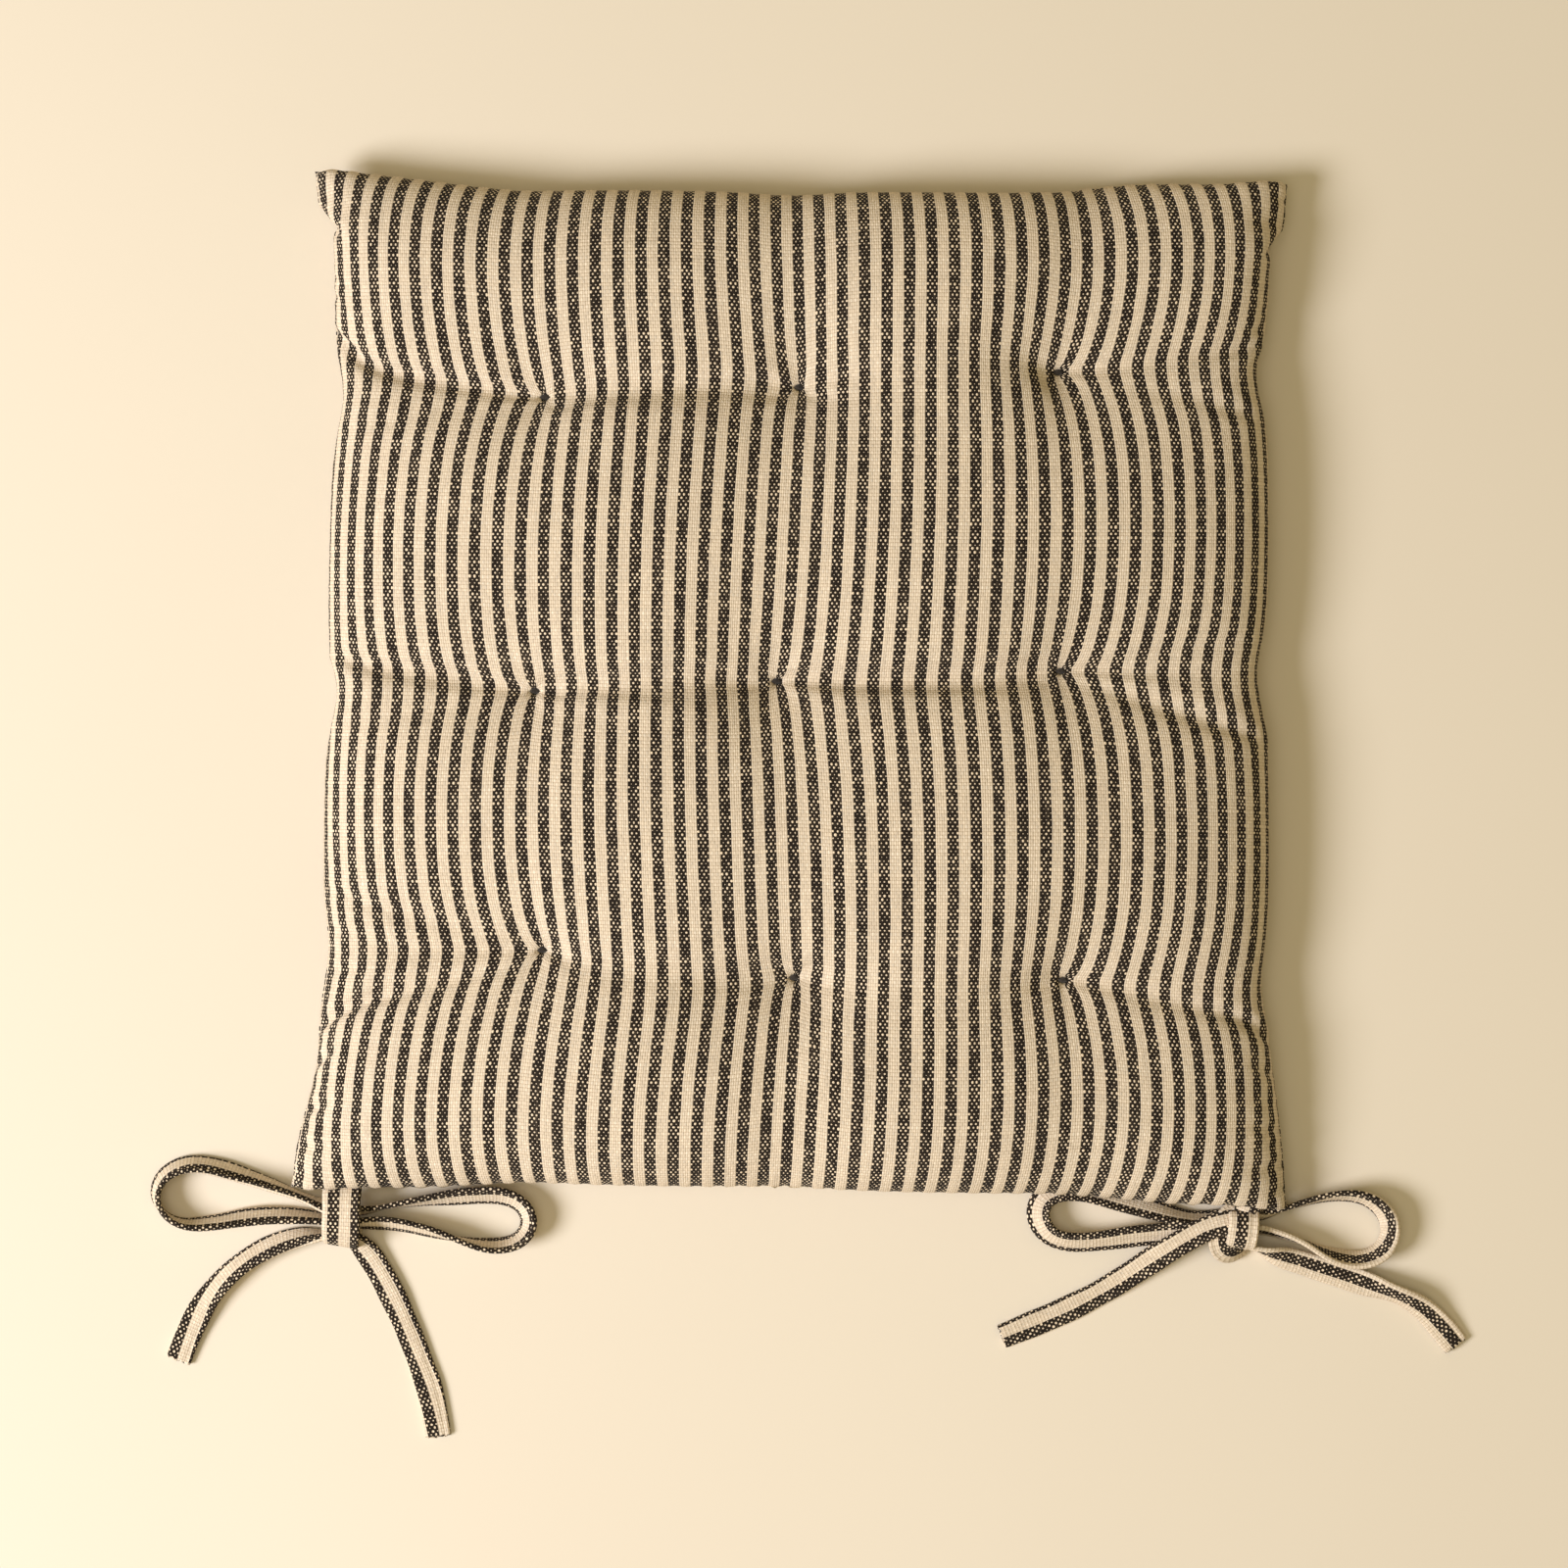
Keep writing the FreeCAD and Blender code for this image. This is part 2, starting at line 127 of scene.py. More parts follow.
# Seen from above, each tie leaves the seam, makes a loop and ends in a tail.
# A route is the loop and the tail at their place on the surface. Before the loop come three points
# of the tie's root, and between the loop and the tail three of its hidden turn in the knot.
LEFT_OUTER = [
    (-185.2, -202.0, 13.0), (-185.6, -207.5, 12.4), (-187.5, -209.8, 8.5),
    (-192, -209, 6.2), (-205, -204, 5.3), (-221, -198, 5.3), (-238, -192.5, 5.3), (-250, -191.5, 5.3),
    (-259, -196, 5.3), (-262.5, -204, 5.3), (-259, -212, 5.3), (-251, -216.5, 5.3), (-239, -216, 5.3),
    (-224, -213, 5.3), (-208, -212.5, 5.3), (-192, -214, 5.6),
    (-185.5, -215.6, 6.0), (-183.2, -218.0, 5.6), (-186.5, -219.8, 4.6),
    (-192, -220.5, 3.2), (-207, -222, 2.4), (-223, -229, 1.8), (-236, -240, 1.3), (-246, -254, 1.2),
    (-253, -272, 1.2),
]
LEFT_INNER = [
    (-184.8, -202.0, 13.0), (-184.2, -207.5, 12.0), (-182, -210.3, 8.5),
    (-178, -211, 6.2), (-163, -208, 5.3), (-147, -206, 5.3), (-132, -204.5, 5.3), (-120, -204.5, 5.3),
    (-112, -208.5, 5.3), (-109, -215.5, 5.3), (-112.5, -222.5, 5.3), (-121, -225.5, 5.3), (-134, -224, 5.3),
    (-149, -219.5, 5.3), (-164, -216, 5.3), (-178, -215.8, 5.6),
    (-184.5, -217.0, 6.0), (-186.5, -219.5, 5.6), (-184.5, -221.8, 4.2),
    (-180.5, -221.8, 3.0), (-171.5, -234, 1.6), (-162, -253, 1.2), (-154, -273, 1.2), (-149, -289, 1.2),
    (-147, -303, 1.2),
]
RIGHT_OUTER = [
    (181.2, -206.2, 12.8), (181.6, -209.6, 11.8), (183.8, -212.2, 8.5),
    (188, -213, 6.2), (203, -208, 5.3), (218, -204.5, 5.3), (230, -205, 5.3), (238.5, -210.5, 5.3),
    (241.5, -219, 5.3), (238, -227.5, 5.3), (229, -231.5, 5.3), (217, -229.5, 5.3), (203, -222.5, 5.3),
    (188, -218, 5.6),
    (182, -219.2, 6.0), (178.8, -221.6, 5.4), (180, -223.8, 3.8),
    (184, -225, 2.6), (192, -228.3, 1.9), (204, -232.0, 1.4), (216, -235.8, 1.6), (228, -239.8, 2.6),
    (238.5, -243.0, 3.6), (249, -247, 2.6), (258.5, -254.0, 1.6), (268, -266, 1.2),
]
RIGHT_INNER = [
    (180.8, -206.2, 12.8), (180.2, -209.6, 11.8), (178.2, -212.2, 8.5),
    (174, -214, 6.2), (159, -214.5, 4.6), (142, -209.5, 3.9), (124, -204.2, 3.8), (109.5, -201.4, 3.8),
    (99.5, -204.8, 4.2), (96.6, -212.5, 4.8), (100.5, -220.5, 4.6), (109, -224, 4.2), (122, -223.5, 3.8),
    (138, -221, 3.6), (157, -220, 3.8), (174, -219, 5.0),
    (181, -219.4, 6.5), (183.2, -216.6, 9.0), (180, -214.2, 11.0),
    (174.5, -214.4, 11.8), (165.5, -217.2, 10.6), (155, -223.2, 9.4), (144, -230.4, 6.4), (132, -239, 2.8),
    (119, -246.8, 1.4), (105.8, -253.2, 1.2), (94, -258, 1.2), (83, -262.5, 1.2),
]

# turns: how each tie turns about its own line, as (share of its length, degrees). 0 is flat, 90 is on edge.
# stripe: where the first dark stripe starts across it, as (share, millimetres from its middle), because
# no strip is folded quite true.
TIES = {
    "left_tie_outer": {
        "length": 274,
        "body": "left_bow",
        "nodes": ("left_bow_outer_loop", "left_bow_outer_tail"),
        "route": LEFT_OUTER,
        "turns": ((0, 0), (0.03, 60), (0.09, 88), (0.20, 58), (0.33, 62), (0.42, 108), (0.52, 128),
                  (0.62, 104), (0.68, 88), (0.74, 40), (0.85, 34), (0.93, 10), (1, 2)),
        "stripe": ((0, -4.2), (0.24, -4.2), (0.38, -1.1), (0.5, -0.3), (0.64, -0.3), (0.69, -4.7),
                   (0.85, -3.6), (1, -0.8)),
    },
    "left_tie_inner": {
        "length": 267,
        "body": "left_bow",
        "nodes": ("left_bow_inner_loop", "left_bow_inner_tail"),
        "route": LEFT_INNER,
        "turns": ((0, 0), (0.03, 60), (0.09, 88), (0.20, 52), (0.33, 50), (0.42, 72), (0.50, 116),
                  (0.60, 120), (0.66, 70), (0.69, 8), (0.85, 0), (1, 0)),
        "stripe": ((0, -3.1), (0.34, -3.1), (0.46, -1.6), (0.66, -2.4), (0.86, -2.1), (1, 0.2)),
    },
    "right_tie_outer": {
        "length": 250,
        "body": "right_bow",
        "nodes": ("right_bow_outer_loop", "right_bow_outer_tail"),
        "route": RIGHT_OUTER,
        "turns": ((0, 0), (0.03, 60), (0.09, 84), (0.18, 70), (0.30, 50), (0.40, 56), (0.48, 96),
                  (0.56, 112), (0.63, 88), (0.68, 14), (0.80, 12), (0.87, 54), (0.94, 14), (1, 0)),
        "stripe": ((0, 7.3), (0.18, 7.3), (0.34, 2.3), (0.64, 3.0), (0.70, 2.8), (1, 2.3)),
    },
    "right_tie_inner": {
        "length": 302,
        "body": "right_bow",
        "nodes": ("right_bow_inner_loop", "right_bow_inner_tail"),
        "route": RIGHT_INNER,
        "turns": ((0, 0), (0.03, 50), (0.09, 66), (0.16, 32), (0.28, 30), (0.36, 44), (0.44, 36),
                  (0.56, 26), (0.62, 46), (0.67, 20), (0.72, 0), (1, 0)),
        "stripe": ((0, -2.8), (0.62, -2.8), (0.70, -4.5), (1, -4.5)),
    },
}


def curve_line(points):
    """The line of a NURBS curve of order 3 with these control points, as Blender draws it."""
    curve = bpy.data.curves.new("route", "CURVE")
    curve.dimensions = "3D"
    curve.resolution_u = 14
    spline = curve.splines.new("NURBS")
    spline.points.add(len(points) - 1)
    for point, (x, y, z) in zip(spline.points, points):
        point.co = (x * MM, y * MM, z * MM, 1)
    spline.order_u = 3
    spline.use_endpoint_u = True
    obj = new_object("route", curve)
    bpy.context.view_layer.update()
    mesh = bpy.data.meshes.new_from_object(obj)
    line = np.array([tuple(vertex.co) for vertex in mesh.vertices]) / MM
    bpy.data.objects.remove(obj)
    bpy.data.curves.remove(curve)
    bpy.data.meshes.remove(mesh)
    return line


def evenly(line, step):
    """The same line in steps of one length, with the share of the length at each point."""
    along = distances(line)
    count = max(int(round(along[-1] / step)), 2)
    at = np.linspace(0, along[-1], count + 1)
    return np.stack([np.interp(at, along, line[:, k]) for k in range(3)], 1), at / along[-1], along[-1]


def smoothed(values, reach):
    """A moving average over reach points each way, which keeps both ends."""
    padded = np.pad(values, reach, mode="edge")
    kernel = np.ones(2 * reach + 1) / (2 * reach + 1)
    return np.convolve(padded, kernel, "valid")


def eased(share, stops, reach):
    """Values between the (share, value) stops, without corners."""
    return smoothed(np.interp(share, [s for s, _ in stops], [v for _, v in stops]), reach)


def strip_section(width, thick, sides=10, round_steps=5):
    """The folded strip's closed section: its points, and the way round it at both ends of each side."""
    half = width / 2 - thick / 2
    points = []
    for k in range(sides + 1):
        points.append((-half + 2 * half * k / sides, thick / 2))
    for k in range(1, round_steps):
        angle = math.pi / 2 - math.pi * k / round_steps
        points.append((half + thick / 2 * math.cos(angle), thick / 2 * math.sin(angle)))
    for k in range(sides + 1):
        points.append((half - 2 * half * k / sides, -thick / 2))
    for k in range(1, round_steps):
        angle = -math.pi / 2 - math.pi * k / round_steps
        points.append((-half + thick / 2 * math.cos(angle), thick / 2 * math.sin(angle)))
    points = np.array(points)
    round_it = distances(np.vstack((points, points[:1])))
    # the cloth meets itself under one edge, so its stripes run on round both edges
    ways = np.stack((round_it[:-1], round_it[1:]), 1)
    ways[2 * sides + round_steps:] -= round_it[-1]
    # the stitched edge is pressed thin beside its stitches
    from_stitches = points[:, 0] - width / 2 + TIE_STITCHES
    pressed = TIE_PRESSED * np.exp(-(from_stitches / 0.55) ** 2)
    points[:, 1] -= np.sign(points[:, 1]) * pressed * thick
    return points, ways


def strip(name, line, across, width, thick, stripe, material, seed=0):
    """A folded strip of ticking along a line.

    across is the way its width points and stripe is where its first dark stripe starts, both at each
    point of the line.
    """
    tangent = unit(np.gradient(line, axis=0))
    wide = unit(across - (across * tangent).sum(1, keepdims=True) * tangent)
    normal = np.cross(tangent, wide)
    section, ways = strip_section(width, thick)
    count = len(section)
    rows = len(line)
    along = distances(line)
    # soft cloth is never quite even: the width and the fold wander a little
    uneven = 1 + 0.03 * np.sin(along / 7.3 + seed) + 0.02 * np.sin(along / 3.1 + 2 * seed)
    bow = 0.12 * np.sin(along / 5.2 + 1.7 * seed)
    points = np.empty((rows, count, 3))
    for k, (a, b) in enumerate(section):
        lifted = b + bow * (1 - (2 * a / width) ** 2)
        points[:, k] = line + wide * (a * uneven)[:, None] + normal * lifted[:, None]
    # the cut end frays a little, and nothing sinks into the surface the strip lies on
    fray = 0.45 * np.sin(np.arange(count) * 2.4 + seed) + 0.3 * np.sin(np.arange(count) * 5.1)
    points[-1] += tangent[-1] * fray[:, None]
    points[..., 2] = np.maximum(points[..., 2], 0.1)
    faces = []
    cloth = []
    for j in range(rows - 1):
        for k in range(count):
            n = (k + 1) % count
            faces.append((j * count + k, j * count + n, (j + 1) * count + n, (j + 1) * count + k))
            for row, end in ((j, 0), (j, 1), (j + 1, 1), (j + 1, 0)):
                cloth.append((ways[k, end] - stripe[row], along[row]))
    for row, order in ((0, range(count - 1, -1, -1)), (rows - 1, range(count))):
        faces.append(tuple(row * count + k for k in order))
        cloth.extend((section[k][0] - stripe[row], along[row] + section[k][1]) for k in order)
    return mesh_object(name, points.reshape(-1, 3), faces, cloth, material)


def tie_line(route, turns):
    """A tie's centreline and how it turns along it. It rests on the surface, on its lower edge."""
    line, share, _ = evenly(curve_line(route), 1.0)
    turn = np.radians(eased(share, turns, 5))
    rest = TIE_WIDTH / 2 * np.abs(np.sin(turn)) + TIE_THICK / 2 * np.abs(np.cos(turn)) + 0.1
    line[:, 2] = np.maximum(line[:, 2], smoothed(rest, 3))
    return line, share, turn


def add_tie(name, tie, material, seed):
    line, share, turn = tie_line(tie["route"], tie["turns"])
    tangent = unit(np.gradient(line, axis=0))
    side = unit(np.cross(UP, tangent))
    across = np.cos(turn)[:, None] * side + np.sin(turn)[:, None] * UP
    stripe = eased(share, tie["stripe"], 5)
    piece = strip(name, line, across, TIE_WIDTH, TIE_THICK, stripe, material, seed)
    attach(piece, tie["body"])
    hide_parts(*tie["nodes"])
    return piece, line


def carried(line, across):
    """The across direction at each point of a line, carried along it without turning about it."""
    tangent = unit(np.gradient(line, axis=0))
    ways = []
    way = np.array(across, float)
    for direction in tangent:
        way = unit(way - way @ direction * direction)
        ways.append(way)
    return np.array(ways)


def add_band(name, body, nodes, route, across, width, stripe, material, seed):
    """A short strip wound round the knot."""
    line, _, _ = evenly(curve_line(route), 0.7)
    ways = carried(line, across)
    piece = strip(name, line, ways, width, TIE_THICK, np.full(len(line), stripe), material, seed)
    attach(piece, body)
    if nodes:
        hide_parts(*nodes)
    return piece


def add_ties(material):
    """Both bows: each is two ties, sewn in at the corner and tied in one knot."""
    left = add_band(
        "left_bow_wrap", "left_bow", ["left_bow_knot"],
        [(-184.8, -200.8, 12.8), (-184.9, -203.6, 15.2), (-185, -210.0, 15.7), (-185.2, -216.0, 15.4),
         (-185.6, -221.4, 13.4), (-186, -224.4, 7.5), (-186, -223.0, 2.4), (-185.6, -217.5, 1.4)],
        (1, 0.12, 0), 15.4, 1.2, material, 1)
    right = add_band(
        "right_bow_wrap", "right_bow", ["right_bow_knot"],
        [(180.4, -211.0, 11.8), (180.3, -212.4, 13.7), (180.2, -214.5, 14.6), (179.8, -218.8, 14.6),
         (179.4, -222.8, 12.6), (179.0, -225.2, 8.0), (179.2, -224.0, 3.0), (180, -219, 1.6)],
        (1, 0.05, 0), 12.4, 2.0, material, 2)
    bight = add_band(
        "right_bow_bight", "right_bow", [],
        [(179.5, -209.0, 8.0), (174.8, -212.6, 9.6), (171.6, -217.6, 10.2), (170.8, -223.0, 9.6),
         (173.0, -227.4, 7.6), (177.5, -228.0, 5.6), (181.0, -225.0, 4.4)],
        (-0.7, 0.7, 0), 10.4, 5.2, material, 3)
    for seed, (name, tie) in enumerate(TIES.items()):
        piece, line = add_tie(name, tie, material, seed + 4)


# ---------------------------------------------------------------- the pad: cloth simulation

# The covers as they were cut, and the plan of the finished corners.
CUT_WIDTH = 405.0
CUT_DEPTH = 434.0
CORNERS = np.array([[(-205.9, -200.1), (197.9, -209.0)], [(-195.9, 210.6), (197.9, 205.6)]])
PLAN_WIDTH = 399.0               # between the corners, about
PLAN_DEPTH = 412.0
SIDE_LENGTH = 410.0              # along a side seam, and along an end seam
END_LENGTH = 398.0
SEAM_TAKE_UP = 0.985             # the stitches shorten the edge to this share
SEAM_HEIGHT = 13.0
CORNER_HEIGHT = 9.0
LOFT = 60.0                      # how thick the fibre fill would be if nothing held it

# The tufts draw in more cloth than lies between them, so it puffs out from row to row.
COLUMN_MARKS = {"left": -113.0, "middle": -4.0, "right": 115.0}
PINCH = 5.5                      # the cloth this near a tuft is gathered into it
GATHER = 0.45                    # gathered distance over flat distance
PIT_SLOPE = 1.7                  # rise of the gathered top cloth over its flat distance from the tuft
UNDER_SLOPE = 0.4                # fall of the bottom cloth, in the same way
STITCH_OVER = 1.3                # from the top cloth to the top of a tuft's thread
KNOT_UNDER = 3.2                 # from the bottom cloth to the bottom of its knot

# How far the fill draws each side in, then how far from its first and from its last corner that starts
# and is full. Sides run from front to rear and from left to right.
DRAWN_IN = {
    "left": (9.5, (12, 20), (8, 55)),
    "right": (7.5, (17, 23), (6, 80)),
    "front": (7.0, (10, 90), (55, 120)),
    "rear": (4.0, (40, 110), (30, 110)),
}
# The side seams come in this much more beside each row of tufts, and this far each way.
NIPS = {"front": 6.0, "middle": 7.0, "rear": 3.0}
NIP_REACH = 15.0
# The right bow pulls the rear seam in: where, how far each way, and how deep.
ROOT_DENT = (177.0, 11.0, 3.0)

# The simulation starts from covers that bulge this much, with a valley along each row of tufts.
START_CROWN = 20.0
START_BELLY = 9.0
VALLEY_DEPTH = 0.7
VALLEY_REACH = 16.0

# Stiffness in the simulation: the share of an error that one pass corrects.
STRETCH = 1.0                    # of a yarn that is too long
SQUASH_ACROSS = 0.05             # of a yarn that is too short
SQUASH_ALONG = 0.10
BIAS = 0.08                      # of the cloth's diagonals
BEND_ACROSS = 0.02
BEND_ALONG = 0.04
UNDER_EASE = 0.95                # the bottom cover is drawn up to this share of its length

# Shares of an error that one step corrects.
ROLL_HOLD = 0.55                 # a roll of fill that isn't straight, away from the sides
SEAM_LEVEL = 0.5                 # the seam's height
SEAM_PLACE = 0.3                 # the seam's place in plan
SPEED_KEPT = 0.92                # from one step to the next


def tufts():
    """Each tuft's name, its place, and the heights of the top cloth and of the bottom cloth there."""
    places = []
    for row in ROWS:
        for column in COLUMNS:
            name = f"tuft_thread_{row}_{column}"
            low, high = node_box(name)
            x, y = (low[:2] + high[:2]) / 2
            places.append((name, x, y, high[2] - STITCH_OVER, low[2] + KNOT_UNDER))
    return places


def plan(u, v):
    """A point of the finished plan between its corners; u and v go from 0 to 1."""
    u = u[..., None]
    v = v[..., None]
    rear = CORNERS[0, 0] * (1 - u) + CORNERS[0, 1] * u
    front = CORNERS[1, 0] * (1 - u) + CORNERS[1, 1] * u
    return rear * (1 - v) + front * v


def crowded(share, fullness):
    """Spreads the seam evenly along the middle of a side and crowds it towards the corners."""
    s = 2 * share - 1
    return (fullness * s - (fullness - 1) * s * np.abs(s) ** 7 + 1) / 2


def rise(distance, span):
    """0 before the span, 1 after it, smooth between."""
    share = np.clip((distance - span[0]) / (span[1] - span[0]), 0, 1)
    return share * share * (3 - 2 * share)


def drawn_in(side, share, length):
    """How far one side is drawn in at each share of its length."""
    depth, first, last = DRAWN_IN[side]
    return depth * rise(share * length, first) * rise((1 - share) * length, last)


def seam_goal(columns, rows):
    """Where the fill holds each seam point: drawn in between the corners and beside the rows of tufts."""
    u = crowded(np.linspace(0, 1, columns + 1), SEAM_TAKE_UP * CUT_WIDTH / PLAN_WIDTH)
    v = crowded(np.linspace(0, 1, rows + 1), SEAM_TAKE_UP * CUT_DEPTH / PLAN_DEPTH)
    goal = plan(*np.meshgrid(u, v))
    goal[:, 0, 0] += drawn_in("left", 1 - v, SIDE_LENGTH)
    goal[:, -1, 0] -= drawn_in("right", 1 - v, SIDE_LENGTH)
    goal[-1, :, 1] -= drawn_in("front", u, END_LENGTH)
    goal[0, :, 1] += drawn_in("rear", u, END_LENGTH)
    dent_at, dent_reach, dent_depth = ROOT_DENT
    goal[0, :, 1] += dent_depth * np.exp(-((goal[0, :, 0] - dent_at) / dent_reach) ** 2)
    for name, _, y, _, _ in tufts():
        nip = NIPS[name.split("_")[-2]]
        if name.endswith("left"):
            goal[:, 0, 0] += nip * np.exp(-((goal[:, 0, 1] - y) / NIP_REACH) ** 2)
        if name.endswith("right"):
            goal[:, -1, 0] -= nip * np.exp(-((goal[:, -1, 1] - y) / NIP_REACH) ** 2)
    return goal


def tuft_mark(name, x, y):
    """Where a tuft is marked on the flat covers."""
    rear = np.interp(x, CORNERS[0, :, 0], CORNERS[0, :, 1])
    front = np.interp(x, CORNERS[1, :, 0], CORNERS[1, :, 1])
    return COLUMN_MARKS[name.split("_")[-1]], ((y - rear) / (front - rear) - 0.5) * CUT_DEPTH


def flat_grid(columns, rows):
    """Each grid point's place on the flat covers, from their middle."""
    x = np.linspace(-0.5, 0.5, columns + 1) * CUT_WIDTH
    y = np.linspace(-0.5, 0.5, rows + 1) * CUT_DEPTH
    return np.meshgrid(x, y)


def puffed_start(columns, rows):
    """Both covers, top first, as two grids that meet round the edge."""
    x, y = flat_grid(columns, rows)
    u = x / CUT_WIDTH + 0.5
    v = y / CUT_DEPTH + 0.5
    puff = (1 - (2 * u - 1) ** 4) * (1 - (2 * v - 1) ** 4)
    marks = [tuft_mark(*place[:3]) for place in tufts()]
    for k in range(0, len(marks), len(COLUMNS)):
        row_x, row_y = zip(*marks[k:k + len(COLUMNS)])
        from_row = y - np.interp(x, row_x, row_y)
        puff *= 1 - VALLEY_DEPTH * np.exp(-(from_row / VALLEY_REACH) ** 2)
    cloth = np.zeros((2, rows + 1, columns + 1, 3))
    cloth[:, ..., :2] = plan(u, v)
    cloth[0, ..., 2] = SEAM_HEIGHT + START_CROWN * puff
    cloth[1, ..., 2] = SEAM_HEIGHT - START_BELLY * puff
    return cloth


def tufted_points(columns, rows):
    """The grid points that each tuft holds and where it holds them in the top and the bottom cover."""
    x_flat, y_flat = flat_grid(columns, rows)
    held = []
    for name, x, y, high, low in tufts():
        mark_x, mark_y = tuft_mark(name, x, y)
        i = round((mark_x / CUT_WIDTH + 0.5) * columns)
        j = round((mark_y / CUT_DEPTH + 0.5) * rows)
        away_x = x_flat - x_flat[j, i]
        away_y = y_flat - y_flat[j, i]
        reach = np.hypot(away_x, away_y)
        near = reach < PINCH
        place_x = x + away_x[near] * GATHER
        place_y = y + away_y[near] * GATHER
        top = np.stack((place_x, place_y, high + PIT_SLOPE * reach[near]), -1)
        under = np.stack((place_x, place_y, low - UNDER_SLOPE * reach[near]), -1)
        held.append((near, top, under))
    return held


def outward(cloth):
    """Outward normals of both covers, as long as each point's share of the area."""
    across = np.gradient(cloth, axis=2)
    along = np.gradient(cloth, axis=1)
    normal = np.cross(across, along)
    normal[1] *= -1
    return normal


def pull(a, b, rest, stretch, squash):
    """Moves two sets of points towards their rest distance.

    The stiffness is stretch where they are too far apart and squash where they are too near.
    """
    gap = b - a
    length = np.sqrt((gap * gap).sum(-1, keepdims=True))
    error = (length - rest) / np.maximum(length, 1e-9)
    move = gap * (error * np.where(error > 0, stretch, squash) * 0.5)
    a += move
    b -= move


def hold_cloth(cloth, across, along, ease):
    """One pass of the cloth's own stiffness: its yarns, then its bias, then its bending."""
    diagonal = math.hypot(across, along)
    for odd in (0, 1):
        pull(cloth[:, :, odd:-1:2], cloth[:, :, odd + 1::2], across * ease, STRETCH, SQUASH_ACROSS)
        pull(cloth[:, odd:-1:2], cloth[:, odd + 1::2], along * ease, STRETCH, SQUASH_ALONG)
    for odd in (0, 1):
        pull(cloth[:, odd:-1:2, :-1], cloth[:, odd + 1::2, 1:], diagonal * ease, BIAS, BIAS)
        pull(cloth[:, odd:-1:2, 1:], cloth[:, odd + 1::2, :-1], diagonal * ease, BIAS, BIAS)
    for first in range(4):
        a = cloth[:, :, first:-2:4]
        b = cloth[:, :, first + 2::4]
        count = min(a.shape[2], b.shape[2])
        pull(a[:, :, :count], b[:, :, :count], 2 * across, 0, BEND_ACROSS)
        a = cloth[:, first:-2:4]
        b = cloth[:, first + 2::4]
        count = min(a.shape[1], b.shape[1])
        pull(a[:, :count], b[:, :count], 2 * along, 0, BEND_ALONG)


def settle(cloth, steps, passes, pressure, gravity=0.01):
    """Lets the fill push the covers out until seam, tufts, floor and the cloth's own length hold them."""
    columns = cloth.shape[2] - 1
    rows = cloth.shape[1] - 1
    across = CUT_WIDTH / columns
    along = CUT_DEPTH / rows
    ease = np.array((1.0, UNDER_EASE)).reshape(2, 1, 1, 1)
    goal = seam_goal(columns, rows)
    edges = (np.s_[:, 0, :], np.s_[:, -1, :], np.s_[:, :, 0], np.s_[:, :, -1])
    held = tufted_points(columns, rows)
    from_side = CUT_WIDTH / 2 - np.abs(flat_grid(columns, rows)[0][:, 1:-1])
    roll = ROLL_HOLD * rise(from_side, (10, 60))
    speed = np.zeros_like(cloth)
    for _ in range(steps):
        before = cloth.copy()
        thick = np.linalg.norm(cloth[0] - cloth[1], axis=-1)
        push = np.clip(1 - thick / LOFT, -0.6, 1)[None, ..., None]
        cloth += speed + outward(cloth) / (across * along) * pressure * push
        cloth[..., 2] -= gravity
        for _ in range(passes):
            hold_cloth(cloth, across, along, ease)
            for edge in edges:
                cloth[edge] = cloth[edge].mean(0)
            for near, top, under in held:
                cloth[0, near] = top
                cloth[1, near] = under
            for j in (0, -1):
                for i in (0, -1):
                    cloth[:, j, i] = (*CORNERS[j, i], CORNER_HEIGHT)
            np.maximum(cloth[..., 2], 0, out=cloth[..., 2])
        # the fill between two rows is one long roll, so it does not fold across
        level = (cloth[:, :, :-2, 2] + cloth[:, :, 2:, 2]) / 2
        cloth[:, :, 1:-1, 2] += (level - cloth[:, :, 1:-1, 2]) * roll
        for edge in edges:
            cloth[edge][..., 2] += (SEAM_HEIGHT - cloth[edge][..., 2]) * SEAM_LEVEL
            cloth[edge][..., :2] += (goal[edge[1:]] - cloth[edge][..., :2]) * SEAM_PLACE
        speed = (cloth - before) * SPEED_KEPT


def finer(cloth):
    """The same covers on a grid of half the size."""
    _, rows, columns, _ = cloth.shape
    fine = np.zeros((2, 2 * rows - 1, 2 * columns - 1, 3))
    fine[:, ::2, ::2] = cloth
    fine[:, ::2, 1::2] = (cloth[:, :, 1:] + cloth[:, :, :-1]) / 2
    fine[:, 1::2] = (fine[:, 2::2] + fine[:, :-2:2]) / 2
    return fine


def simulate_pad():
    """Settles the covers on a coarse grid, then on two finer ones."""
    cloth = puffed_start(50, 52)
    settle(cloth, 160, 16, 0.15)
    cloth = finer(cloth)
    settle(cloth, 60, 12, 0.075)
    cloth = finer(cloth)
    settle(cloth, 16, 10, 0.04)
    return cloth


# ---------------------------------------------------------------- the pad: pieces

FILL_GAP = 3.0                   # from the covers to the fill
TWINE_RADIUS = 1.3
TWINE_LAY = 4.2                  # one turn of its plies
SEAM_INSET = 3.2                 # from the pad's edge to the lockstitch
LOCKSTITCH = 3.4                 # one wave of its thread
LADDER_STITCH = 6.5              # from one of the closing stitches to the next


def grid_faces(rows, columns, flip=False):
    """Quads of a grid of points, row by row."""
    faces = []
    for j in range(rows - 1):
        for i in range(columns - 1):
            a = j * columns + i
            face = (a, a + 1, a + columns + 1, a + columns)
            faces.append(face[::-1] if flip else face)
    return faces


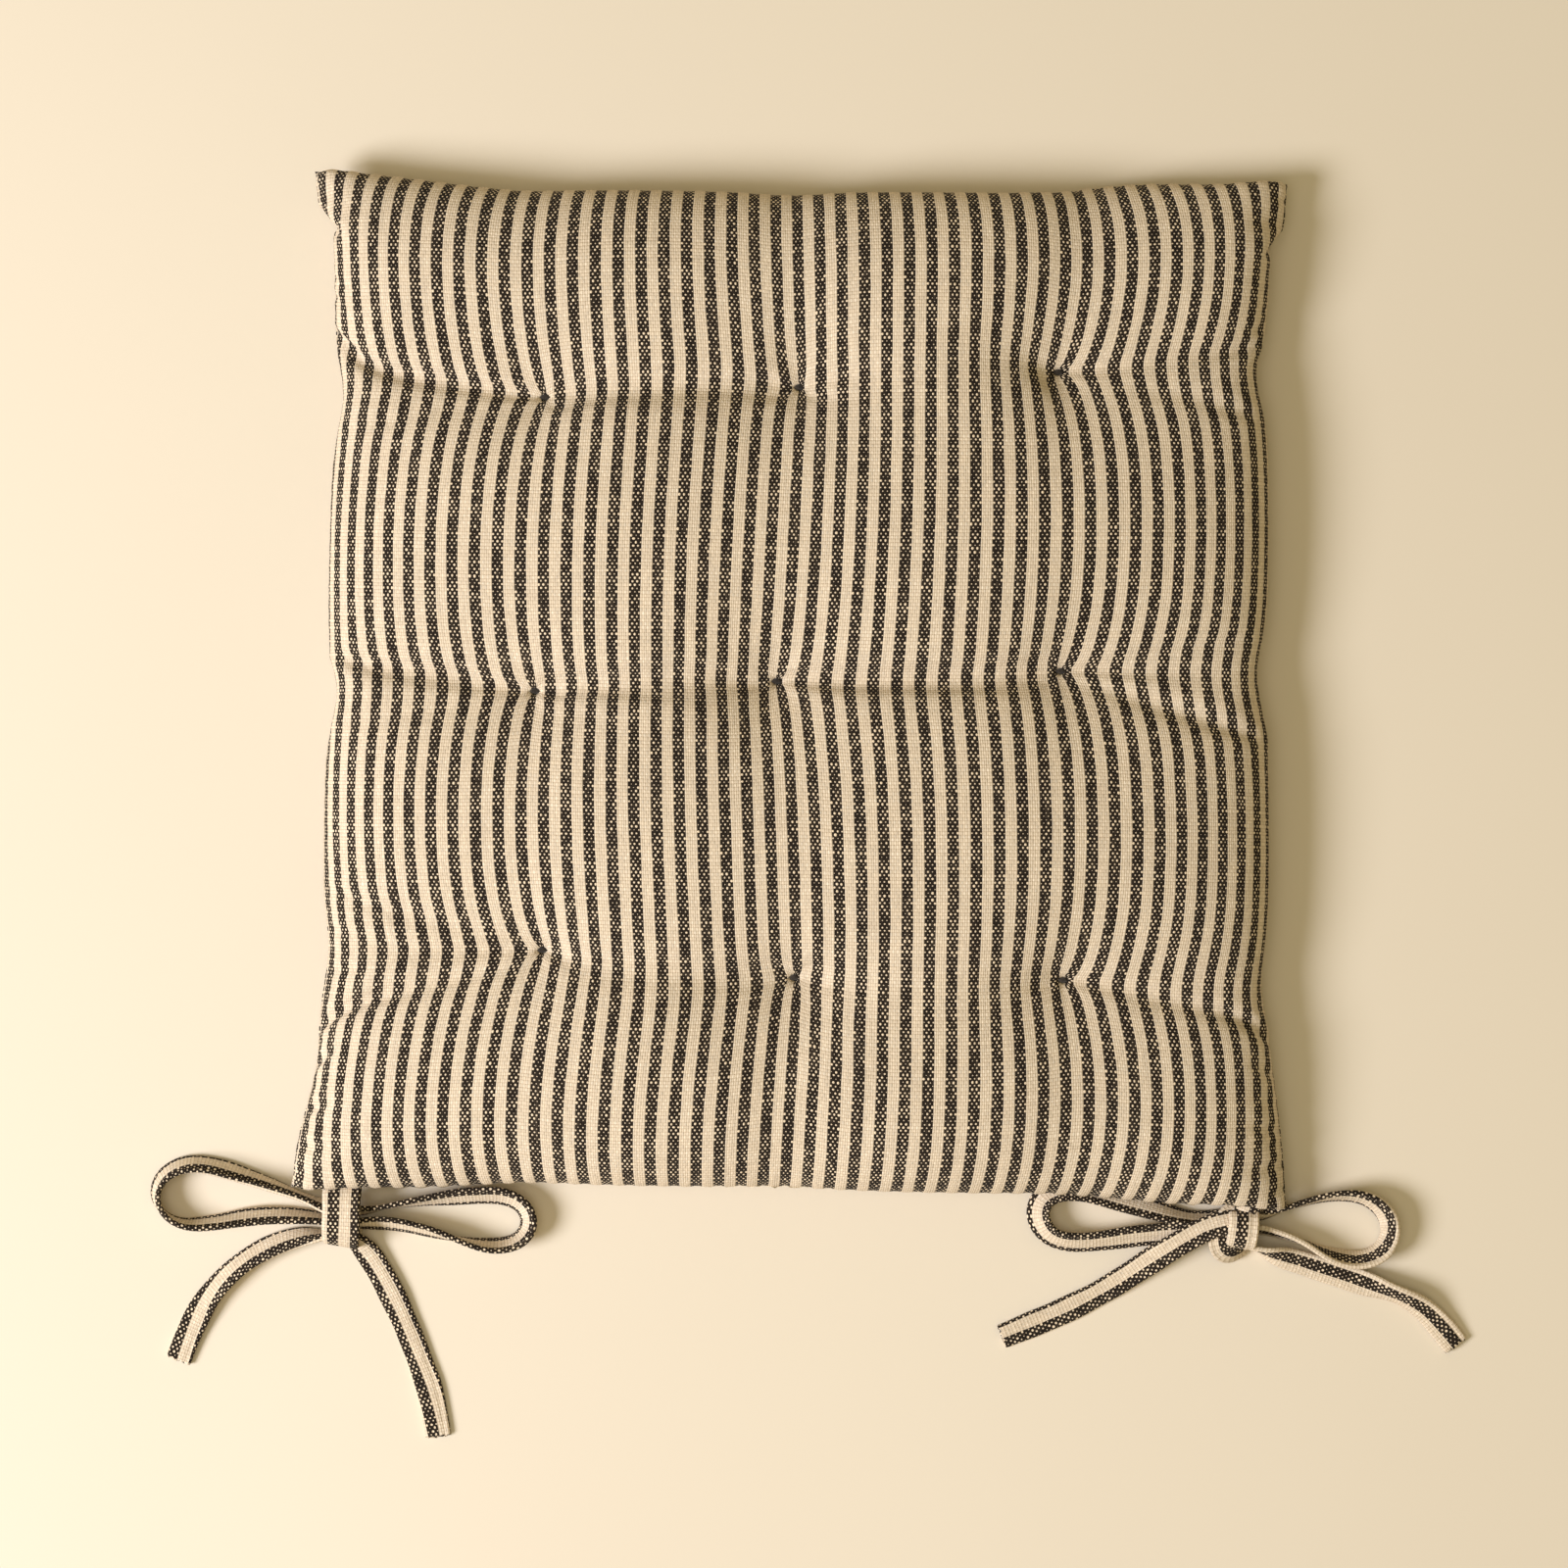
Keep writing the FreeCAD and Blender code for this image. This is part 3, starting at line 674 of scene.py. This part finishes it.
def flat_cloth(rows, columns):
    """Each grid point's place in the stripe pattern."""
    u, v = np.meshgrid(np.linspace(-1, 1, columns), np.linspace(-0.5, 0.5, rows))
    from_end = (0.5 - np.abs(v)) * CUT_DEPTH
    at_end = np.exp(-((from_end / 24) ** 1.5))
    x = u * CUT_WIDTH / 2 * (1 + CROWDING * (np.abs(u) ** 6 * (1 - at_end) + at_end))
    return np.stack((x + STRIPE_SHIFT, v * CUT_DEPTH), -1).reshape(-1, 2)


def puckered(cloth):
    """The same covers with their edges gathered by the seam.

    At the end seams each light stripe stands out a little. The side seams wander in and out.
    """
    _, rows, columns, _ = cloth.shape
    flat = flat_cloth(rows, columns).reshape(rows, columns, 2)
    ridge = -np.cos(2 * math.pi * (flat[..., 0] / STRIPE - 0.25))
    wander = np.sin(2 * math.pi * flat[..., 1] / 7.7 + 1.8 * np.sin(flat[..., 1] / 23))
    cloth = cloth.copy()
    # each edge: its row or column, which way is out, on which axis, and its waves with their size
    edges = (
        (0, -1, 1, ridge, 0.45),
        (rows - 1, 1, 1, ridge, 0.35),
        (0, -1, 0, wander, 0.1),
        (columns - 1, 1, 0, wander, 0.1),
    )
    for edge, direction, axis, wave, size in edges:
        if axis == 1:
            away = np.abs(np.arange(rows) - edge)[:, None] * CUT_DEPTH / (rows - 1)
        else:
            away = np.abs(np.arange(columns) - edge)[None, :] * CUT_WIDTH / (columns - 1)
        cloth[..., axis] += direction * size * wave * np.exp(-away / 5)
        cloth[0, ..., 2] += size * wave * away / 4 * np.exp(-away / 5)
    return cloth


def add_cover(name, layer, under, node, material):
    """One cover as a thin shell of cloth with its right side outwards."""
    rows, columns, _ = layer.shape
    faces = grid_faces(rows, columns, flip=under)
    flat = flat_cloth(rows, columns)
    if under:
        flat = flat * (1, -1) + (STRIPE / 3, 0)
    cloth = [flat[corner] for face in faces for corner in face]
    cover = mesh_object(name, layer.reshape(-1, 3), faces, cloth, material)
    shell = cover.modifiers.new("cloth", "SOLIDIFY")
    shell.thickness = CLOTH * MM
    shell.offset = -1
    apply_modifiers(cover)
    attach(cover, "cushion")
    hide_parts(node)


def add_fill(cloth, material):
    """The fibre fill, just inside the covers, with its surface a little tufty."""
    middle = cloth.mean(0)
    half = (cloth[0] - cloth[1]) / 2
    reach = np.linalg.norm(half, axis=-1, keepdims=True)
    shrunk = half * np.maximum(1 - FILL_GAP / np.maximum(reach, 1e-6), 0.10)
    rows, columns = middle.shape[:2]
    j, i = np.mgrid[0:rows, 0:columns]
    fluff = 0.35 * (np.sin(i * 0.95 + 3 * np.sin(j * 0.35)) + np.sin(j * 1.15 + 2 * np.sin(i * 0.45)))
    shrunk *= (1 - 0.4 * (fluff[..., None] + 0.7) / np.maximum(reach, 2.0))
    inner = np.s_[4:-4, 4:-4]
    top = (middle + shrunk)[inner]
    under = (middle - shrunk)[inner]
    rows, columns = top.shape[:2]
    count = rows * columns
    faces = grid_faces(rows, columns)
    faces += [tuple(index + count for index in face) for face in grid_faces(rows, columns, flip=True)]
    ring = list(range(columns))
    ring += [j * columns + columns - 1 for j in range(1, rows)]
    ring += [(rows - 1) * columns + i for i in range(columns - 2, -1, -1)]
    ring += [j * columns for j in range(rows - 2, 0, -1)]
    for a, b in zip(ring, ring[1:] + ring[:1]):
        faces.append((a + count, b + count, b, a))
    points = np.vstack((top.reshape(-1, 3), under.reshape(-1, 3)))
    fill = mesh_object("fibre_fill_batting", points, faces, material=material)
    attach(fill, "cushion")
    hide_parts("fibre_fill")


def twine(name, line, radius, lay, material, closed=False):
    """A two-ply thread along a line: its section is two round plies that turn about each other."""
    line = np.asarray(line, float)
    tangent = unit(np.gradient(line, axis=0))
    side = np.cross(tangent, UP + 0.013)
    side = unit(np.where(np.linalg.norm(side, axis=1, keepdims=True) < 0.05, (1.0, 0, 0), side))
    other = np.cross(tangent, side)
    along = distances(line)
    count = 8
    rows = len(line)
    points = np.empty((rows, count, 3))
    for k in range(count):
        angle = 2 * math.pi * k / count
        ply = radius * (0.72 + 0.28 * np.abs(np.cos(angle - 2 * math.pi * along / lay)))
        out = side * math.cos(angle) + other * math.sin(angle)
        points[:, k] = line + out * ply[:, None]
    faces = []
    for j in range(rows if closed else rows - 1):
        below = j * count
        above = (j + 1) % rows * count
        for k in range(count):
            n = (k + 1) % count
            faces.append((below + k, below + n, above + n, above + k))
    if not closed:
        faces.append(tuple(range(count - 1, -1, -1)))
        faces.append(tuple((rows - 1) * count + k for k in range(count)))
    return mesh_object(name, points.reshape(-1, 3), faces, material=material)


def add_tuft_threads(material):
    """Each tuft's twine: over the top cloth, down through the pad, and knotted underneath."""
    for name, x, y, high, low in tufts():
        stitch = [
            (x - 1.6, y + 0.4, low - 1.2), (x - 1.8, y, low + 2), (x - 1.8, y, high - 2.5),
            (x - 2.0, y + 0.1, high + 4.6), (x, y + 0.2, high + 6.2), (x + 2.0, y + 0.1, high + 4.6),
            (x + 1.8, y, high - 2.5), (x + 1.8, y, low + 2), (x + 1.6, y - 0.4, low - 1.2),
            (x - 0.4, y - 1.1, low - 1.6), (x - 1.1, y + 0.9, low - 1.0), (x + 0.9, y + 1.2, low - 1.7),
        ]
        line, _, _ = evenly(curve_line(stitch), 0.35)
        thread = twine(name.replace("thread", "twine"), line, TWINE_RADIUS, TWINE_LAY, material)
        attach(thread, "cushion")
        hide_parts(name)


def seam_line(cloth, inset):
    """The seam round the pad, front left corner first, drawn in by inset towards the middle."""
    top = cloth[0]
    ring = np.vstack((top[-1, :-1], top[:0:-1, -1], top[0, :0:-1], top[:-1, 0]))
    centre = ring.mean(0)
    inwards = unit((centre - ring) * (1, 1, 0))
    return ring + inwards * inset


def add_seam_threads(cloth, material):
    """The lockstitch inside the seam, and the hand stitches that close the opening at the rear."""
    ring = seam_line(cloth, SEAM_INSET)
    line, _, _ = evenly(np.vstack((ring, ring[:1])), 0.9)
    line = line[:-1]
    line[:, 2] += 0.35 * np.sin(2 * math.pi * np.arange(len(line)) / LOCKSTITCH)
    seam = twine("perimeter_lockstitch", line, 0.34, 2.0, material, closed=True)
    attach(seam, "cushion")
    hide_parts("perimeter_seam_thread")
    low, high = node_box("closing_stitch_thread")
    rear = cloth[0][0]
    middle = rear[(rear[:, 0] > low[0]) & (rear[:, 0] < high[0])]
    line, share, length = evenly(middle, 0.8)
    ladder = np.sin(2 * math.pi * share * round(length / LADDER_STITCH))
    line[:, 1] -= 0.15 - 0.5 * np.abs(ladder)
    line[:, 2] += 1.1 * ladder
    close = twine("closing_ladder_stitch", line, 0.3, 1.8, material)
    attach(close, "cushion")
    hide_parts("closing_stitch_thread")


def add_sewn_ends(material):
    """The two sewn ends of each bow's ties, one on the other where they pass through the seam."""
    for side in ("left", "right"):
        node = f"{side}_tie_sewn_ends"
        low, high = node_box(node)
        x = (low[0] + high[0]) / 2
        z = (low[2] + high[2]) / 2
        line, _, _ = evenly(np.array([(x, high[1], z), (x, low[1] - 0.4, z)]), 0.8)
        ways = np.tile((1.0, 0, 0), (len(line), 1))
        piece = strip(f"{side}_tie_roots", line, ways, TIE_WIDTH - 0.2, high[2] - low[2] - 0.4,
                      np.full(len(line), 1.5), material, 9)
        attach(piece, "cushion")
        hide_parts(node)


# ---------------------------------------------------------------- materials

class Shader:
    """Builds one material's nodes. Every input is a number or another node's output."""

    def __init__(self, name):
        self.material = bpy.data.materials.new(name)
        self.material.use_nodes = True
        self.nodes = self.material.node_tree.nodes
        self.links = self.material.node_tree.links
        self.surface = self.nodes["Principled BSDF"]

    def feed(self, socket, value):
        if isinstance(value, bpy.types.NodeSocket):
            self.links.new(value, socket)
        else:
            socket.default_value = value

    def math(self, operation, *values):
        node = self.nodes.new("ShaderNodeMath")
        node.operation = operation
        for socket, value in zip(node.inputs, values):
            self.feed(socket, value)
        return node.outputs[0]

    def plus(self, a, b):
        return self.math("ADD", a, b)

    def minus(self, a, b):
        return self.math("SUBTRACT", a, b)

    def times(self, a, b):
        return self.math("MULTIPLY", a, b)

    def step(self, value, low, high):
        """0 below low, 1 above high, smooth between; low may be above high."""
        node = self.nodes.new("ShaderNodeMapRange")
        node.interpolation_type = "SMOOTHSTEP"
        if low < high:
            ends = (low, high, 0.0, 1.0)
        else:
            ends = (high, low, 1.0, 0.0)
        self.feed(node.inputs["Value"], value)
        for key, end in zip(("From Min", "From Max", "To Min", "To Max"), ends):
            node.inputs[key].default_value = end
        return node.outputs["Result"]

    def mix(self, share, a, b):
        node = self.nodes.new("ShaderNodeMix")
        node.data_type = "RGBA"
        self.feed(node.inputs["Factor"], share)
        self.feed(node.inputs["A"], (*a, 1) if isinstance(a, tuple) else a)
        self.feed(node.inputs["B"], (*b, 1) if isinstance(b, tuple) else b)
        return node.outputs["Result"]

    def scale(self, colour, value):
        """A colour made lighter or darker."""
        node = self.nodes.new("ShaderNodeVectorMath")
        node.operation = "SCALE"
        self.feed(node.inputs[0], colour)
        self.feed(node.inputs["Scale"], value)
        return node.outputs[0]

    def vector(self, x, y, z=0.0):
        node = self.nodes.new("ShaderNodeCombineXYZ")
        for socket, value in zip(node.inputs, (x, y, z)):
            self.feed(socket, value)
        return node.outputs[0]

    def noise(self, where, scale, detail=2.0):
        node = self.nodes.new("ShaderNodeTexNoise")
        self.feed(node.inputs["Vector"], where)
        node.inputs["Scale"].default_value = scale
        node.inputs["Detail"].default_value = detail
        return node.outputs["Fac"]

    def random(self, where):
        node = self.nodes.new("ShaderNodeTexWhiteNoise")
        node.noise_dimensions = "3D"
        self.feed(node.inputs["Vector"], where)
        return node.outputs["Value"]

    def cloth_place(self):
        """Place on the flat cloth, across and along, in millimetres."""
        node = self.nodes.new("ShaderNodeUVMap")
        node.uv_map = "cloth"
        split = self.nodes.new("ShaderNodeSeparateXYZ")
        self.links.new(node.outputs[0], split.inputs[0])
        return self.times(split.outputs[0], 1000), self.times(split.outputs[1], 1000)

    def object_place(self):
        return self.nodes.new("ShaderNodeTexCoord").outputs["Object"]

    def finish(self, colour, rough, height=None, depth=0.1, sheen=0.0):
        self.feed(self.surface.inputs["Base Color"], colour)
        self.feed(self.surface.inputs["Roughness"], rough)
        self.surface.inputs["Specular IOR Level"].default_value = 0.12
        self.surface.inputs["Sheen Weight"].default_value = sheen
        self.surface.inputs["Sheen Roughness"].default_value = 0.6
        if height is not None:
            bump = self.nodes.new("ShaderNodeBump")
            bump.inputs["Distance"].default_value = depth * MM
            bump.inputs["Strength"].default_value = 1.0
            self.links.new(height, bump.inputs["Height"])
            self.links.new(bump.outputs[0], self.surface.inputs["Normal"])
        return self.material


DARK_YARN = (0.019, 0.013, 0.009)
DARK_WORN = (0.055, 0.041, 0.029)
CREAM_YARN = (0.87, 0.76, 0.62)
NATURAL_YARN = (0.80, 0.665, 0.505)
DARK_STRIPE_WEFT = (0.815, 0.665, 0.485)
# painted shade: the brown that stands for the shade in the gaps between the light stripes' yarns
GAP_SHADE_BROWN = (0.36, 0.23, 0.12)


def ticking():
    """Plain weave: cream weft over dark and natural warp. Weft that lies on top shows as a cream oval."""
    s = Shader("ticking")
    across, along = s.cloth_place()
    drift = s.noise(s.vector(s.times(across, 0.5), s.times(along, 0.06)), 1.0)
    waver = s.noise(s.vector(s.times(across, 0.03), s.times(along, 0.5), 7.0), 1.0)
    across = s.plus(across, s.times(s.minus(drift, 0.5), 0.7))
    along = s.plus(along, s.times(s.minus(waver, 0.5), 0.9))
    ends = s.times(across, ENDS / STRIPE)
    picks = s.times(along, 1 / PICK)
    end = s.math("FLOOR", ends)
    pick = s.math("FLOOR", picks)
    x = s.minus(s.math("FRACT", ends), 0.5)
    y = s.minus(s.math("FRACT", picks), 0.5)
    weft_on_top = s.math("FLOORED_MODULO", s.plus(end, pick), 2.0)
    in_stripe = s.math("FLOORED_MODULO", end, float(ENDS))
    dark_stripe = s.math("LESS_THAN", in_stripe, ENDS / 2 - 0.5)
    yarn = s.random(s.vector(end, pick))
    weft_yarn = s.noise(s.vector(s.times(across, 0.05), pick, 3.0), 0.9, 3.0)
    warp_yarn = s.noise(s.vector(end, s.times(along, 0.04), 11.0), 0.9, 3.0)
    # the oval of weft, fatter where the yarn has a slub
    slub = s.plus(s.times(yarn, 0.90), s.times(weft_yarn, 0.45))
    fat = s.plus(0.42, slub)
    x_part = s.math("POWER", s.math("DIVIDE", s.math("ABSOLUTE", x), s.times(fat, 0.35)), 2.0)
    y_part = s.math("POWER", s.math("DIVIDE", s.math("ABSOLUTE", y), s.times(fat, 0.24)), 2.0)
    oval = s.times(s.step(s.plus(x_part, y_part), 1.15, 0.75), weft_on_top)
    cream = s.mix(s.step(weft_yarn, 0.35, 0.7), NATURAL_YARN, CREAM_YARN)
    cream = s.scale(cream, s.plus(0.80, s.times(yarn, 0.34)))
    worn = s.step(s.plus(warp_yarn, s.times(yarn, 0.25)), 0.55, 0.95)
    dark = s.mix(worn, DARK_YARN, DARK_WORN)
    weft = s.scale(DARK_STRIPE_WEFT, s.plus(0.80, s.times(yarn, 0.38)))
    in_dark = s.mix(oval, dark, weft)
    # between the light ends, brown painted shade fills the gaps from row to row, deeper at the corners of a
    # crossing
    row_gap = s.step(s.math("ABSOLUTE", y), 0.33, 0.5)
    end_gap = s.step(s.math("ABSOLUTE", x), 0.30, 0.5)
    hole = s.times(row_gap, end_gap)
    opening = s.plus(s.times(row_gap, 0.40), s.times(hole, 0.60))
    opening = s.math("MINIMUM", opening, 1.0)
    gap = s.times(opening, s.plus(0.55, s.times(yarn, 0.6)))
    natural = s.mix(s.times(weft_on_top, 0.75), NATURAL_YARN, cream)
    natural = s.scale(natural, s.plus(0.82, s.times(warp_yarn, 0.34)))
    # the light stripes' gaps are painted with brown shade here
    in_light = s.mix(gap, natural, GAP_SHADE_BROWN)
    colour = s.mix(dark_stripe, in_light, in_dark)
    patch = s.noise(s.vector(across, along), 0.02, 2.0)
    colour = s.scale(colour, s.plus(0.94, s.times(patch, 0.12)))
    from_middle = s.plus(s.times(x, x), s.times(y, y))
    crown = s.minus(1.0, s.times(from_middle, 2.2))
    high = s.times(crown, s.plus(0.7, s.times(weft_on_top, 0.3)))
    fibre = s.noise(s.vector(s.times(across, 3.0), s.times(along, 3.0)), 1.0, 3.0)
    high = s.plus(high, s.times(fibre, 0.5))
    rough = s.plus(0.82, s.times(yarn, 0.12))
    return s.finish(colour, rough, high, 0.22, sheen=0.03)


def thread_material(name, light, shade, scale):
    """Spun thread: fine streaks along and round it."""
    s = Shader(name)
    place = s.object_place()
    fibre = s.noise(place, scale, 3.0)
    slow = s.noise(place, scale / 12, 2.0)
    colour = s.mix(s.step(s.plus(fibre, s.times(slow, 0.4)), 0.5, 0.85), shade, light)
    return s.finish(colour, s.plus(0.7, s.times(fibre, 0.2)), fibre, 0.08, sheen=0.2)


def batting():
    """White polyester fibre, matted."""
    s = Shader("batting")
    place = s.object_place()
    fibre = s.noise(place, 900.0, 4.0)
    clump = s.noise(place, 60.0, 2.0)
    light = s.step(s.plus(fibre, s.times(clump, 0.5)), 0.5, 1.0)
    colour = s.mix(light, (0.66, 0.65, 0.62), (0.90, 0.90, 0.88))
    return s.finish(colour, s.plus(0.85, s.times(fibre, 0.1)), fibre, 0.6, sheen=0.4)


def floor_paint():
    """Plain pale studio paper."""
    s = Shader("studio_paper")
    tone = s.noise(s.object_place(), 3.0, 2.0)
    colour = s.mix(tone, (0.83, 0.735, 0.60), (0.86, 0.77, 0.635))
    return s.finish(colour, 0.9)


# ---------------------------------------------------------------- stage

def add_stage():
    reach = 9000
    corners = [(-reach, -reach, 0), (reach, -reach, 0), (reach, reach, 0), (-reach, reach, 0)]
    floor = mesh_object("floor", corners, [(0, 1, 2, 3)], material=floor_paint())


def add_light(name, place, size, power, colour):
    data = bpy.data.lights.new(name, "AREA")
    data.shape = "DISK"
    data.size = size
    data.energy = power
    data.color = colour
    lamp = new_object(name, data)
    lamp.location = place
    aim = -np.array(place)
    lamp.rotation_mode = "QUATERNION"
    lamp.rotation_quaternion = Vector(aim.tolist()).to_track_quat("-Z", "Y")


def light_scene():
    """A large soft window low on the left, and a pale room."""
    add_light("key", (-1.8, -0.7, 1.42), 1.0, 61, (0.97, 0.97, 1.03))
    add_light("top", (-0.3, -0.2, 2.4), 1.6, 10, (1.0, 0.93, 0.80))
    world = bpy.data.worlds.new("room")
    world.use_nodes = True
    background = world.node_tree.nodes["Background"]
    background.inputs["Color"].default_value = (1.0, 0.83, 0.40, 1)
    background.inputs["Strength"].default_value = 0.30
    bpy.context.scene.world = world
    bpy.context.scene.view_settings.view_transform = "Standard"


# ---------------------------------------------------------------- the object

add_camera()
cloth_material = ticking()
add_ties(cloth_material)

pad = puckered(simulate_pad())
add_cover("top_cover", pad[0], False, "top_panel", cloth_material)
add_cover("bottom_cover", pad[1], True, "bottom_panel", cloth_material)
add_fill(pad, batting())
add_tuft_threads(thread_material("tufting_twine", (0.045, 0.034, 0.026), (0.012, 0.009, 0.007), 1800.0))
white_thread = thread_material("sewing_thread", (0.80, 0.70, 0.54), (0.55, 0.44, 0.30), 2500.0)
add_seam_threads(pad, white_thread)
add_sewn_ends(cloth_material)
for side in ("left", "right"):
    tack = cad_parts[f"{side}_tie_tack_thread"]
    tack.data.materials.clear()
    tack.data.materials.append(white_thread)

add_stage()
light_scene()
